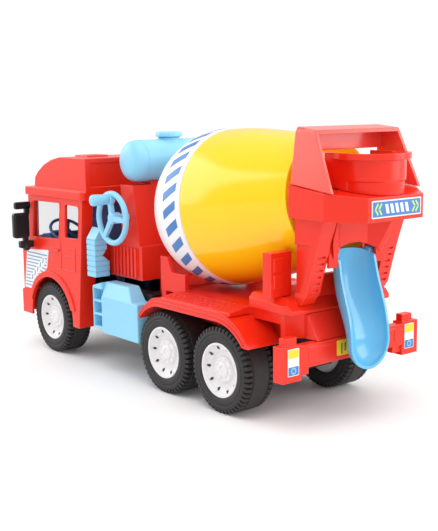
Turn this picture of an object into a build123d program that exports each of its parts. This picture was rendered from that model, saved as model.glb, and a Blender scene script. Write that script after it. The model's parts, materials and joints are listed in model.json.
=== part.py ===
from build123d import *
import os
from math import cos, radians, sin, sqrt, tan

# Toy cement mixer truck, in millimetres.
# +X points to the front of the truck, +Y to its left side and +Z up. The origin is on the
# ground, under the middle of the whole truck.

# ---- driving dimensions -----------------------------------------------------------------
half_length = 190.2            # from the origin to the front bumper and to the funnel's rim
body_half_width = 62.0         # cab sides, fenders and tail blocks
axle_height = 30.0
tyre_radius = 30.0
rear_axle_x = -85.0
middle_axle_x = -20.5
front_axle_x = 142.75
fit_gap = 0.3                  # between fixed pieces that meet face to face
press_gap = 0.02               # radial, where a hub or knob is pressed on
running_gap = 0.06             # radial, where a shaft or pin turns

axle_radius = 2.0
axle_half_length = 56.0
rim_radius = 18.8
rear_tyre_y = (35.5, 60.5)
front_tyre_y = (37.5, 59.5)

chassis_half_width = 26.0
chassis_z = (24.0, 62.0)
chassis_x = (-138.0, 172.0)
wall = 2.5                     # usual thickness of a moulded wall

deck_top = 74.0
fender_inner_radius = 34.0     # wheel arch over the tandem wheels, about each axle
fender_outer_radius = 40.5
bumper_rear_x = -152.0

cab_wall = 2.0
cab_top = 133.0
arch_x = 137.4                 # centre of the front wheel arch
arch_z = 31.0
arch_radius = 34.5

stand_front_x = -136.0
belt_rear_x = -186.3
belt_front_x = -134.5
funnel_x = -165.2
funnel_rim_radius = 25.0

drum_tilt = 7.5                # degrees, the drum's axis rises to the rear
seam_x = -39.7                 # the seam between the two drum halves, on the axis
seam_z = 133.4
drum_radius = 56.5             # yellow half, at the seam
collar_radius = 24.0           # rear collar that turns in the stand
collar_from = -92.0            # stations along the axis, from the seam, forwards positive
collar_to = -104.0
drum_shaft_radius = 5.0

crank_x = 45.2                 # hand wheel shaft, it crosses the drum's axis
crank_shaft_radius = 3.0
hand_wheel_y = 57.8
gear_teeth = 20
pinion_teeth = 10
gear_pitch_radius = 10.0
pinion_pitch_radius = gear_pitch_radius * pinion_teeth / gear_teeth

screw_radius = 1.1
screw_places = [(x, y) for x in (-97, 18, 104, 160) for y in (-14, 14)]

chute_pivot = (-148.0, 111.0)  # x and z of the chute's two trunnions
chute_wall = 2.0
trunnion_radius = 2.6

# ---- values worked out from them --------------------------------------------------------
tilt = radians(drum_tilt)
drum_direction = Vector(cos(tilt), 0, -sin(tilt))
drum_origin = Vector(seam_x, 0, seam_z)
drum_axis = Axis(drum_origin, drum_direction)
drum_plane = Plane(origin=drum_origin, x_dir=drum_direction, z_dir=(0, -1, 0))
crank_station = (crank_x - seam_x) / cos(tilt)
crank_z = seam_z - (crank_x - seam_x) * tan(tilt)

os.makedirs("parts", exist_ok=True)


# ---- helpers ----------------------------------------------------------------------------
def save(piece, name):
    """Label a finished part and write it as its own STEP file."""
    piece.label = name
    export_step(piece, f"parts/{name}.step")


def block(x, y, z, mode=Mode.ADD):
    """Box between the low and high values of x, y and z."""
    with Locations((sum(x) / 2, sum(y) / 2, sum(z) / 2)):
        Box(x[1] - x[0], y[1] - y[0], z[1] - z[0], mode=mode)


def side_profile(points, y, mode=Mode.ADD):
    """Outline of (x, z) points, carried across the truck between two y values."""
    with BuildSketch(Plane.XZ.offset(-y[0])) as outline:
        with BuildLine():
            Polyline(*points, close=True)
        make_face()
    extrude(outline.sketch, amount=-(y[1] - y[0]), mode=mode)


def rear_profile(points, x, mode=Mode.ADD):
    """Outline of (y, z) points, carried along the truck between two x values."""
    with BuildSketch(Plane.YZ.offset(x[0])) as outline:
        with BuildLine():
            Polyline(*points, close=True)
        make_face()
    extrude(outline.sketch, amount=x[1] - x[0], mode=mode)


def plan_profile(points, z, mode=Mode.ADD):
    """Outline of (x, y) points, carried up between two z values."""
    with BuildSketch(Plane.XY.offset(z[0])) as outline:
        with BuildLine():
            Polyline(*points, close=True)
        make_face()
    extrude(outline.sketch, amount=z[1] - z[0], mode=mode)


def turned(points, plane, axis, mode=Mode.ADD):
    """Solid of revolution of (along, radius) points drawn in a plane through the axis."""
    with BuildSketch(plane) as outline:
        with BuildLine():
            Polyline(*points, close=True)
        make_face()
    revolve(outline.sketch, axis=axis, mode=mode)


def cross_rod(x, z, y, radius, mode=Mode.ADD):
    """Round rod or hole across the truck, between two y values."""
    with BuildSketch(Plane(origin=(x, y[0], z), x_dir=(1, 0, 0), z_dir=(0, 1, 0))) as circle:
        Circle(radius)
    extrude(circle.sketch, amount=y[1] - y[0], mode=mode)


def mirrored(part):
    """The right-hand twin of a left-hand piece."""
    with BuildPart() as twin:
        add(part.mirror(Plane.XZ))
    return twin.part


def screw_sockets(low, radius, height, mode=Mode.ADD):
    """One upright cylinder at each screw, used for heads, shanks, sockets and posts."""
    with BuildSketch(Plane.XY.offset(low)) as circles:
        with Locations(*screw_places):
            Circle(radius)
    extrude(circles.sketch, amount=height, mode=mode)


def screw_post(x, y, top):
    """Hollow post that takes one screw from below."""
    with BuildSketch(Plane.XY.offset(45)) as ring:
        with Locations((x, y)):
            Circle(3.6)
            Circle(screw_radius + press_gap, mode=Mode.SUBTRACT)
    extrude(ring.sketch, amount=top - 45)


# ---- wheels and axles -------------------------------------------------------------------
def make_axle(name, x):
    with BuildPart() as axle:
        cross_rod(x, axle_height, (-axle_half_length, axle_half_length), axle_radius)
    save(axle.part, name)


def make_wheel(corner, x, y):
    """Left tyre and hub of one axle, and their right-hand twins."""
    wheel_axis = Axis((x, 0, axle_height), (0, 1, 0))
    wheel_plane = Plane(origin=(x, 0, axle_height), x_dir=(0, 1, 0), z_dir=(1, 0, 0))
    inner, outer = y
    bore = axle_radius + press_gap
    hub_points = [
        (inner + 3, bore), (inner + 3, rim_radius), (outer - 0.6, rim_radius),
        (outer - 0.6, rim_radius - 1.4), (outer - 3.6, rim_radius - 2.6),
        (outer - 5.6, rim_radius - 6.5), (outer - 5.6, 9.5), (outer - 4.0, 8.6),
        (outer - 4.0, 4.2), (outer - 5.0, 3.6), (outer - 5.0, bore),
    ]
    with BuildPart() as hub:
        turned(hub_points, wheel_plane, wheel_axis)
        slot_plane = Plane(origin=(x, outer, axle_height), x_dir=(1, 0, 0), z_dir=(0, 1, 0))
        with BuildSketch(slot_plane) as slots:
            with PolarLocations(rim_radius - 3.6, 10):
                Rectangle(2.6, 1.3)
        extrude(slots.sketch, amount=-7.5, mode=Mode.SUBTRACT)
    save(hub.part, f"{corner}_left_hub")
    save(mirrored(hub.part), f"{corner}_right_hub")

    seat = rim_radius + 0.05
    tyre_points = [
        (inner + 0.8, seat), (inner, 24), (inner + 0.5, 28.4), (inner + 2.2, tyre_radius),
        (outer - 2.2, tyre_radius), (outer - 0.5, 28.4), (outer, 24), (outer - 0.8, seat),
    ]
    groove_y = [inner + (outer - inner) * share for share in (0.3, 0.5, 0.7)]
    with BuildPart() as tyre:
        turned(tyre_points, wheel_plane, wheel_axis)
        for middle in groove_y:
            groove = [
                (middle - 0.6, tyre_radius + 1), (middle - 0.6, tyre_radius - 1),
                (middle + 0.6, tyre_radius - 1), (middle + 0.6, tyre_radius + 1),
            ]
            turned(groove, wheel_plane, wheel_axis, mode=Mode.SUBTRACT)
    save(tyre.part, f"{corner}_left_tyre")
    save(mirrored(tyre.part), f"{corner}_right_tyre")


for corner, x, y in (
    ("rear", rear_axle_x, rear_tyre_y),
    ("middle", middle_axle_x, rear_tyre_y),
    ("front", front_axle_x, front_tyre_y),
):
    make_axle(f"{corner}_axle", x)
    make_wheel(corner, x, y)

# ---- chassis: an open-topped tray that holds the axles ----------------------------------
inner_half_width = chassis_half_width - 3
with BuildPart() as chassis_frame:
    block(chassis_x, (-chassis_half_width, chassis_half_width), chassis_z)
    tray_x = (chassis_x[0] + 3, chassis_x[1] - 3)
    block(tray_x, (-inner_half_width, inner_half_width), (27, 63), mode=Mode.SUBTRACT)
    for side in (-1, 1):
        y_inner = sorted((side * 18, side * inner_half_width))
        for x in (rear_axle_x, middle_axle_x, front_axle_x):
            block((x - 5, x + 5), y_inner, (26, 40))
        outrigger_y = sorted((side * chassis_half_width, side * 45.7))
        block((12, 22), outrigger_y, (58, 65.5))
    for rib_x in (-52, 28, 60, 92):
        block((rib_x - 1.2, rib_x + 1.2), (-inner_half_width, inner_half_width), (26, 50))
    side_profile([(-139, 20), (-139, 46), (-118, 46), (-104, 20)], (-30, 30), mode=Mode.SUBTRACT)
    tail_floor = [(-138, 46), (-118, 46), (-103, 24), (-99, 24), (-116, 49), (-138, 49)]
    side_profile(tail_floor, (-chassis_half_width, chassis_half_width))
    for x in (rear_axle_x, middle_axle_x, front_axle_x):
        bore = axle_radius + running_gap
        cross_rod(x, axle_height, (-60, 60), bore, mode=Mode.SUBTRACT)
    screw_sockets(24, 2.8, 2.6, mode=Mode.SUBTRACT)
    screw_sockets(26, screw_radius + 0.1, 2, mode=Mode.SUBTRACT)
save(chassis_frame.part, "chassis_frame")

# ---- deck with the tandem fenders -------------------------------------------------------
def arch_point(axle_x, radius, z, side):
    """Point at height z on a circle about an axle, in front of it or behind it."""
    return (axle_x + side * sqrt(radius**2 - (z - axle_height) ** 2), z)


lip_rear = arch_point(rear_axle_x, fender_inner_radius, 50.5, -1)
lip_front = arch_point(middle_axle_x, fender_inner_radius, 51.5, 1)
crown_rear = arch_point(rear_axle_x, fender_outer_radius - 2, 50.5, -1)
crown_front = arch_point(middle_axle_x, fender_inner_radius + 1.2, 52.5, 1)
lip_top = axle_height + fender_inner_radius
crown_top = axle_height + fender_outer_radius


def fender(y):
    """Long fender over both rear wheels, thinned towards its two ends."""
    with BuildSketch(Plane.XZ.offset(-y[0])) as outline:
        with BuildLine():
            rear_tangent = (rear_axle_x, lip_top)
            middle_tangent = (middle_axle_x, lip_top)
            RadiusArc(lip_rear, rear_tangent, fender_inner_radius)
            Line(rear_tangent, middle_tangent)
            RadiusArc(middle_tangent, lip_front, fender_inner_radius)
            Line(lip_front, crown_front)
            crown_middle = (middle_axle_x - 2, crown_top)
            crown_back = (rear_axle_x, crown_top)
            Spline(crown_front, (-0.2, 61.5), (-10.5, 68.6), crown_middle,
                   tangents=[(-0.45, 1), (-1, 0)])
            Line(crown_middle, crown_back)
            Spline(crown_back, (-106, 63.5), crown_rear, tangents=[(-1, 0), (-0.45, -1)])
            Line(crown_rear, lip_rear)
        make_face()
    extrude(outline.sketch, amount=-(y[1] - y[0]))


tread_plate = [(43, 69), (43, deck_top), (61, 71.4), (61, 69)]
end_plan = [(-128, 43), (-131.5, 43), (-140.5, 34), (-140.5, -34), (-131.5, -43), (-128, -43)]
deck_bracket = [(4, 72), (4, 96.5), (-4, 96.5), (-9.8, 85.5), (-26, 85.5), (-26, 72)]
with BuildPart() as deck_body:
    block((-131, 3.5), (-43, 43), (deck_top - 3, deck_top))
    block((3, 30), (-25.7, 25.7), (62.3, deck_top))
    block((-2, 27.5), (-23, 23), (60, deck_top - 3), mode=Mode.SUBTRACT)
    plan_profile(end_plan, (58, deck_top))
    block((-138, -120), (-31, 31), (50, deck_top - 3), mode=Mode.SUBTRACT)
    block((-92, -10), (-30, 30), (72.8, 80), mode=Mode.SUBTRACT)
    for side in (-1, 1):
        fender(sorted((side * 34.5, side * body_half_width)))
        rear_profile([(side * y, z) for y, z in tread_plate], (-98, -21))
        block((-131, -96), sorted((side * 40.5, side * 43)), (66.5, deck_top))
        block((-2, 3.5), sorted((side * 26.4, side * 43)), (65.8, deck_top))
        block((-118, -10), sorted((side * 26.4, side * 29.4)), (50, 72))
        side_profile(deck_bracket, sorted((side * 39.6, side * 43)))
        gusset_y = sorted((side * 29.5, side * 32.5))
        side_profile([(-139, 73.5), (-142.5, 73.5), (-151.3, 57.6), (-139, 57.6)], gusset_y)
    side_profile([(-139, 73.8), (-142, 73.8), (-150.6, 57.6), (-148, 57.6), (-139, 71)], (-30, 30))
    for x, y in screw_places[:4]:
        screw_post(x, y, deck_top - 2)
save(deck_body.part, "deck_body")

# ---- rear bumper with the two tail blocks -----------------------------------------------
emboss_x = (bumper_rear_x - 0.6, bumper_rear_x)
with BuildPart() as rear_bumper:
    block((bumper_rear_x, -146), (-48, 48), (42.3, 57.3))
    block((-146, chassis_x[0] - fit_gap), (-20, 20), (46, 57.3))
    for side in (-1, 1):
        block((bumper_rear_x, -143.5), sorted((side * 47.5, side * 63.5)), (35, 58.2))
        block((-150.5, -146), sorted((side * 39.5, side * 48)), (37.5, 43))
        block((-150, -144.5), sorted((side * 49.5, side * 59.5)), (57, 63))
        block(emboss_x, sorted((side * 21, side * 41)), (54, 55.2))
        block(emboss_x, sorted((side * 39.8, side * 41)), (46, 54.6))
        block(emboss_x, sorted((side * 30, side * 31.2)), (46, 54.6))
save(rear_bumper.part, "rear_bumper")

sticker_x = (bumper_rear_x - 0.45, bumper_rear_x - 0.05)
with BuildPart() as tail_sticker_left:
    block(sticker_x, (49.6, 59.2), (39.2, 56.6))
save(tail_sticker_left.part, "tail_sticker_left")
save(mirrored(tail_sticker_left.part), "tail_sticker_right")

with BuildPart() as rear_plate:
    block((bumper_rear_x - 0.75, bumper_rear_x - 0.05), (-16, 16), (45.6, 55.8))
save(rear_plate.part, "rear_plate")

# ---- stand: base plate, two legs, belt and the drum's rear bearing ----------------------
leg_outline = [
    (stand_front_x, 80), (stand_front_x, 152), (-162, 149), (-163.5, 136),
    (-161, 133), (-155.6, 117.5), (-150.4, 100), (-147.2, 88), (-141.5, 80),
]
leg_pocket = [
    (stand_front_x + 1, 88), (stand_front_x + 1, 119), (-150, 119), (-144.5, 99), (-140, 88),
]
base_outline = [(-100, 74.3), (-100, 84), (-134, 84), (-142.5, 76), (-142.5, 74.3)]
base_plan = [
    (-100, -45.5), (-100, 45.5), (-134, 47), (-141.5, 45.5), (-142.5, 35),
    (-142.5, -35), (-141.5, -45.5), (-134, -47),
]
belt_plan = [
    (belt_rear_x, -25.1), (belt_rear_x, 25.1), (-165.7, 42),
    (belt_front_x, 42), (belt_front_x, -42), (-165.7, -42),
]
belt_side = [
    (belt_rear_x, 135.1), (belt_rear_x, 150.2), (belt_front_x, 156.5), (belt_front_x, 136),
]
hollow_plan = [
    (belt_rear_x + wall, -24), (belt_rear_x + wall, 24), (-164.8, 39.5),
    (belt_front_x - 5.5, 39.5), (belt_front_x - 5.5, -39.5), (-164.8, -39.5),
]
hollow_side = [
    (belt_rear_x + wall, 130), (belt_rear_x + wall, 147.6),
    (belt_front_x - 5.5, 153.3), (belt_front_x - 5.5, 130),
]

with BuildPart() as belt_hollow:
    plan_profile(hollow_plan, (130, 160))
    side_profile(hollow_side, (-60, 60), mode=Mode.INTERSECT)

with BuildPart() as belt:
    plan_profile(belt_plan, (130, 160))
    side_profile(belt_side, (-60, 60), mode=Mode.INTERSECT)
    add(belt_hollow.part, mode=Mode.SUBTRACT)

base_section = [(-47, 70), (-47, 79.5), (-42, 84), (42, 84), (47, 79.5), (47, 70)]
with BuildPart() as base_plate:
    plan_profile(base_plan, (70, 90))
    side_profile(base_outline, (-60, 60), mode=Mode.INTERSECT)
    rear_profile(base_section, (-150, -90), mode=Mode.INTERSECT)

with BuildPart() as drum_stand:
    add(belt.part)
    add(base_plate.part)
    for side in (-1, 1):
        side_profile(leg_outline, sorted((side * 26, side * 38)))
        side_profile(leg_pocket, sorted((side * 36.6, side * 39)), mode=Mode.SUBTRACT)
        for step in range(6):
            notch_z = 88.5 + 4.4 * step
            notch_x = -147.3 - (notch_z - 88) * 0.27
            notch_y = sorted((side * 28, side * 35))
            block((notch_x - 2, notch_x + 1.3), notch_y, (notch_z, notch_z + 1.6),
                  mode=Mode.SUBTRACT)
    block((-140, -137.5), (-37, 37), (118, 172))
    block((-138, -133), (-27, 27), (83, 97))
    with BuildSketch(drum_plane) as collar_bore:
        with BuildLine():
            bore_top = collar_radius + running_gap + 0.02
            Polyline((-120, 0), (-120, bore_top), (-85, bore_top), (-85, 0), close=True)
        make_face()
    revolve(collar_bore.sketch, axis=drum_axis, mode=Mode.SUBTRACT)
    with Locations((funnel_x, 0, 150)):
        Cylinder(19.1, 30, mode=Mode.SUBTRACT)
    pivot_bore = trunnion_radius + running_gap
    cross_rod(*chute_pivot, (-34, 34), pivot_bore, mode=Mode.SUBTRACT)
save(drum_stand.part, "drum_stand")

# ---- hood over the drum's mouth ---------------------------------------------------------
hood_side = [(-171, 152.7), (-135, 157.0), (-137.3, 192.6), (-154, 190.6)]
hood_hollow_side = [
    (-185, 150), (-130, 150), (-130, 177.4), (-139.7, 177.4), (-139.7, 189.9), (-158, 187.7),
]


def hood_section(bottom, top, height, corner):
    """Slightly tapered cross section with rounded upper corners."""
    with BuildSketch(Plane.YZ.offset(-200)) as section:
        with BuildLine():
            Polyline((-bottom, 148), (bottom, 148), (top, height), (-top, height), close=True)
        make_face()
        fillet(section.vertices().group_by(Axis.Z)[-1], radius=corner)
    extrude(section.sketch, amount=80, mode=Mode.INTERSECT)


with BuildPart() as hood_hollow:
    side_profile(hood_hollow_side, (-60, 60))
    hood_section(39, 35.8, 192, 4)

with BuildPart() as hopper_hood:
    side_profile(hood_side, (-60, 60))
    hood_section(41.4, 38.2, 194, 6)
    add(hood_hollow.part, mode=Mode.SUBTRACT)
save(hopper_hood.part, "hopper_hood")

# ---- feed funnel and discharge spout ----------------------------------------------------
funnel_axis = Axis((funnel_x, 0, 0), (0, 0, 1))
funnel_plane = Plane(origin=(funnel_x, 0, 0), x_dir=(0, 0, 1), z_dir=(0, 1, 0))
funnel_points = [
    (142, 16.6), (142, 18.8), (148, 18.8), (148, 20.4), (158.6, 21.0), (159.5, 21.8),
    (171.8, 21.8), (172.4, funnel_rim_radius), (176.2, funnel_rim_radius),
    (176.2, funnel_rim_radius - 2.4), (173.5, 19.6), (160.5, 19.6), (157, 16.6),
]
belt_surface = [(-195, 140), (-195, 149.4), (-130, 157.3), (-130, 140)]
with BuildPart() as under_belt:
    side_profile(belt_surface, (-40, 40))
    with Locations((funnel_x, 0, 150)):
        Cylinder(18.9, 60, mode=Mode.SUBTRACT)

with BuildPart() as feed_funnel:
    turned(funnel_points, funnel_plane, funnel_axis)
    for side in (-1, 1):
        block((-165.2, -146), sorted((side * 19.6, side * 21.8)), (150, 176.2))
    block((-162, -138), (-19.7, 19.7), (160, 180), mode=Mode.SUBTRACT)
    add(under_belt.part, mode=Mode.SUBTRACT)
save(feed_funnel.part, "feed_funnel")

# The spout is a bent plate between the legs, with an arch that the chute hangs through.
spout_plan = [
    (-161.5, 25.7), (-151.3, 12.5), (-151.3, -12.5), (-161.5, -25.7),
    (-157.7, -25.7), (-148.6, -13.8), (-148.6, 13.8), (-157.7, 25.7),
]
spout_side = [(-162, 134.8), (-153.2, 104), (-147, 104), (-147, 134.8)]
with BuildPart() as discharge_spout:
    plan_profile(spout_plan, (104, 134.8))
    side_profile(spout_side, (-30, 30), mode=Mode.INTERSECT)
    with BuildSketch(Plane.YZ.offset(-170)) as arch:
        with Locations((0, 103)):
            Ellipse(24, 15)
    extrude(arch.sketch, amount=30, mode=Mode.SUBTRACT)
    for side in (-1, 1):
        block((-154.4, -152.4), sorted((side * 17.6, side * 25.7)), (104, 126))
save(discharge_spout.part, "discharge_spout")

# ---- discharge chute --------------------------------------------------------------------
# Each section of the trough: height, x of its two rims, half width and depth to the front.
chute_sections = [
    (118.0, -152.2, 15.4, 11.8), (106.0, -154.8, 16.3, 14.4), (96.0, -157.0, 17.3, 16.6),
    (84.0, -160.8, 18.0, 18.2), (72.0, -164.0, 18.0, 17.2), (62.0, -165.4, 18.0, 14.2),
    (52.0, -165.7, 18.0, 11.8),
]
spoon_z, spoon_x, spoon_width, spoon_depth = chute_sections[-1]


def trough(inset, reach):
    """Half-elliptical trough, shrunk by an inset and carried on rearwards by a reach."""
    with BuildPart() as body:
        for z, x, half_width, depth in chute_sections:
            with BuildSketch(Plane.XY.offset(z)):
                with Locations((x, 0)):
                    Ellipse(depth - inset, half_width - inset)
                with Locations((x - 30, 0)):
                    Rectangle(60, 60, mode=Mode.SUBTRACT)
                if reach > 0:
                    with Locations((x - reach / 2, 0)):
                        Rectangle(reach, (half_width - inset) * 2)
        loft(ruled=True)
    return body.part


def spoon_end(inset, reach):
    """Quarter of a flattened round bowl that closes the foot of the trough."""
    half_width = spoon_width - inset
    depth = spoon_depth - inset
    with BuildPart() as spoon:
        with BuildSketch(Plane.XZ) as bowl:
            Ellipse(depth, half_width)
            with Locations((-30 - reach, 0)):
                Rectangle(60, 60, mode=Mode.SUBTRACT)
            with Locations((0, -30)):
                Rectangle(60, 60, mode=Mode.SUBTRACT)
        revolve(bowl.sketch, axis=Axis.X)
        with Locations((0, 0, 50)):
            Box(100, 100, 100, mode=Mode.SUBTRACT)
    return spoon.part.moved(Location((spoon_x, 0, spoon_z)))


# The top is cut off low, and falls to the rear so that the chute clears the arch when it swings.
chute_top = [(-162, 103), (-162, 125), (-130, 125), (-130, 111.5), (-141, 112), (-151.5, 112)]
with BuildPart() as discharge_chute:
    add(trough(0, 0))
    add(spoon_end(0, 0))
    add(trough(chute_wall, 8), mode=Mode.SUBTRACT)
    add(spoon_end(chute_wall, 2), mode=Mode.SUBTRACT)
    side_profile(chute_top, (-30, 30), mode=Mode.SUBTRACT)
    for side in (-1, 1):
        ear_y = sorted((side * 14.5, side * 18.6))
        cross_rod(*chute_pivot, ear_y, 3.0)
        cross_rod(*chute_pivot, sorted((side * 18, side * 33)), trunnion_radius)
save(discharge_chute.part, "discharge_chute")

with BuildPart() as rear_sign:
    block((belt_rear_x - 0.6, belt_rear_x - 0.05), (-22.5, 22.5), (137.6, 148.4))
save(rear_sign.part, "rear_sign")

# ---- control boxes beside the stand -----------------------------------------------------
with BuildPart() as control_box_left:
    block((-127.8, -119.8), (33, 51), (84.3, 113.2))
    for low in (90, 101):
        block((-128.5, -127.8), (40.5, 48.5), (low, low + 8.5))
save(control_box_left.part, "control_box_left")
save(mirrored(control_box_left.part), "control_box_right")

# ---- drive housing behind the cab -------------------------------------------------------
housing_half_width = 44.0
shaft_bore = drum_shaft_radius + running_gap
crank_bore = crank_shaft_radius + running_gap
with BuildPart() as drive_housing:
    half = housing_half_width
    side_profile([(30, 100), (37, 146.6), (54, 146.6), (54, 100)], (-half, half))
    block((27, 71), (-half, half), (74.3, 100.5))
    for side in (-1, 1):
        rib_y = sorted((side * half, side * (half + 1.8)))
        for rib in range(7):
            rib_x = 34 + 5 * rib
            block((rib_x - 1.3, rib_x + 1.3), rib_y, (76, 99))
        saddle_y = sorted((side * 20, side * 26))
        side_profile([(38, 146), (38, 149.6), (52, 149.6), (52, 146)], saddle_y)
    side_profile([(32.6, 90), (39.3, 144.2), (52, 144.2), (52, 90)], (2 - half, half - 2),
                 mode=Mode.SUBTRACT)
    block((29.5, 68.5), (2.5 - half, half - 2.5), (70, 98), mode=Mode.SUBTRACT)
    side_profile([(33, 100), (38, 145), (53, 145), (53, 100)], (15, 17.5))
    with Locations((45, 0, 164.6)):
        Cylinder(16.2, 120, rotation=(90, 0, 0), mode=Mode.SUBTRACT)
    with BuildSketch(drum_plane) as front_bore:
        with BuildLine():
            Polyline((60, 0), (60, shaft_bore), (80, shaft_bore), (80, 0), close=True)
        make_face()
    revolve(front_bore.sketch, axis=drum_axis, mode=Mode.SUBTRACT)
    cross_rod(crank_x, crank_z, (10, 50), crank_bore, mode=Mode.SUBTRACT)
save(drive_housing.part, "drive_housing")

# ---- drum -------------------------------------------------------------------------------
drum_wall = 2.5


with BuildPart() as drum_rear_shell:
    with BuildSketch(drum_plane) as rear_half:
        with BuildLine():
            Spline((collar_from, 41.0), (-70, 45.4), (-30, 53.0), (0, drum_radius))
            Polyline(
                (0, drum_radius), (0, 54.0), (6, 54.0), (6, 52.0), (0, 51.8),
                (-30, 50.4), (-70, 42.9), (collar_from + drum_wall, 38.6),
                (collar_from + drum_wall, 21.5), (collar_to, 21.5),
                (collar_to, collar_radius), (collar_from, collar_radius),
                (collar_from, 41.0),
            )
        make_face()
    revolve(rear_half.sketch, axis=drum_axis)
save(drum_rear_shell.part, "drum_rear_shell")

hub_bore = drum_shaft_radius + press_gap
with BuildPart() as drum_front_cone:
    with BuildSketch(drum_plane) as front_half:
        with BuildLine():
            Spline((0.3, 57.1), (12, 57.4), (24, 56.2), (34, 53.0), (41, 49.4))
            Polyline(
                (41, 49.4), (43.5, 46), (49, 22), (49, 12), (58, 12), (58, hub_bore),
                (46, hub_bore), (46, 21), (41, 44.6), (38.6, 47.4), (33, 50.4),
                (23, 53.6), (12, 54.8), (0.3, 54.5), (0.3, 57.1),
            )
        make_face()
    revolve(front_half.sketch, axis=drum_axis)
save(drum_front_cone.part, "drum_front_cone")

gear_root = crank_station - pinion_pitch_radius - 1.15
gear_tip = crank_station - pinion_pitch_radius + 1.05
with BuildPart() as drum_gear:
    turned(
        [
            (44, 0), (44, drum_shaft_radius), (gear_root - 1.6, drum_shaft_radius),
            (gear_root - 1.6, 12.5), (gear_root, 12.5), (gear_root, 0),
        ],
        drum_plane, drum_axis,
    )
    tooth_plane = Plane(
        origin=drum_origin + drum_direction * (gear_root - 0.2),
        x_dir=(0, 1, 0), z_dir=drum_direction,
    )
    with BuildSketch(tooth_plane) as face_teeth:
        with PolarLocations(10.3, gear_teeth, start_angle=180 / gear_teeth):
            Rectangle(2.6, 1.0)
    extrude(face_teeth.sketch, amount=gear_tip - gear_root + 0.2)
save(drum_gear.part, "drum_gear")

# ---- hand wheel, its shaft and its knob -------------------------------------------------
pinion_root_radius = pinion_pitch_radius - 1.25
pinion_tip_radius = pinion_pitch_radius + 1.0
crank_plane = Plane(
    origin=(crank_x, 9.3, crank_z), x_dir=drum_direction * -1, z_dir=(0, 1, 0),
)
with BuildPart() as crank_shaft:
    with BuildSketch(crank_plane) as pinion:
        Circle(pinion_root_radius)
        with PolarLocations(0, pinion_teeth):
            with BuildLine():
                Polyline(
                    (3.2, -0.65), (pinion_tip_radius, -0.35), (pinion_tip_radius, 0.35),
                    (3.2, 0.65), close=True,
                )
            make_face()
    extrude(pinion.sketch, amount=2.0)
    cross_rod(crank_x, crank_z, (9.3, hand_wheel_y + 0.2), crank_shaft_radius)
save(crank_shaft.part, "crank_shaft")

wheel_rim_radius = 18.8
rim_tube = 2.2
spoke_angles = (80, 182, 306)
knob_x = crank_x + 2.3
knob_z = crank_z + 14.5
with BuildPart() as hand_wheel:
    rim_plane = Plane(origin=(crank_x, hand_wheel_y, crank_z), x_dir=(1, 0, 0), z_dir=(0, -1, 0))
    with BuildSketch(Plane(origin=rim_plane.origin, x_dir=(1, 0, 0), z_dir=(0, 0, 1))) as tube:
        with Locations((wheel_rim_radius, 0)):
            Circle(rim_tube)
    revolve(tube.sketch, axis=Axis(rim_plane.origin, (0, 1, 0)))
    with BuildSketch(rim_plane.offset(-1.7)) as spokes:
        for angle in spoke_angles:
            with Locations(Location((0, 0, 0), (0, 0, angle))):
                with Locations((wheel_rim_radius / 2, 0)):
                    Rectangle(wheel_rim_radius, 4.2)
    extrude(spokes.sketch, amount=3.4)
    cross_rod(crank_x, crank_z, (hand_wheel_y - 6, hand_wheel_y + 2), 4.4)
    cross_rod(knob_x, knob_z, (hand_wheel_y - 1.7, hand_wheel_y + 2.6), 4.6)
    cross_rod(knob_x, knob_z, (40, 80), 1.6, mode=Mode.SUBTRACT)
    cross_rod(crank_x, crank_z, (40, hand_wheel_y + 0.3), crank_shaft_radius + press_gap,
              mode=Mode.SUBTRACT)
save(hand_wheel.part, "hand_wheel")

with BuildPart() as crank_knob:
    cross_rod(knob_x, knob_z, (hand_wheel_y + 2.7, hand_wheel_y + 17), 4.4)
    cross_rod(knob_x, knob_z, (hand_wheel_y - 1.5, hand_wheel_y + 3), 1.6 - press_gap)
    fillet(crank_knob.faces().sort_by(Axis.Y)[-1].edges(), radius=1.2)
save(crank_knob.part, "crank_knob")

# ---- water tank and cap -----------------------------------------------------------------
tank_centre = (45, 0, 164.6)
tank_radius = 16.1
tank_plane = Plane(origin=tank_centre, x_dir=(0, 1, 0), z_dir=(1, 0, 0))
tank_axis = Axis(tank_centre, (0, 1, 0))
neck_y = 3.2
with BuildPart() as water_tank:
    with BuildSketch(tank_plane) as half_tank:
        with BuildLine():
            Line((-44, 0), (-44, 7.5))
            Spline((-44, 7.5), (-41, 13), (-34, tank_radius), tangents=[(0.1, 1), (1, 0)])
            Line((-34, tank_radius), (34, tank_radius))
            Spline((34, tank_radius), (41, 13), (44, 7.5), tangents=[(1, 0), (0.1, -1)])
            Line((44, 7.5), (44, 0))
            Line((44, 0), (-44, 0))
        make_face()
    revolve(half_tank.sketch, axis=tank_axis)
    with Locations((45, neck_y, 177)):
        Cylinder(8.4, 10)
    with Locations((45, neck_y, 180)):
        Cylinder(6, 12, mode=Mode.SUBTRACT)
save(water_tank.part, "water_tank")

with BuildPart() as tank_cap:
    with Locations((45, neck_y, 184.4)):
        Cylinder(10.5, 4.2)
    with Locations((45, neck_y, 180.5)):
        Cylinder(5.9, 6)
    fillet(tank_cap.faces().sort_by(Axis.Z)[-1].edges(), radius=1.6)
save(tank_cap.part, "tank_cap")

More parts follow.
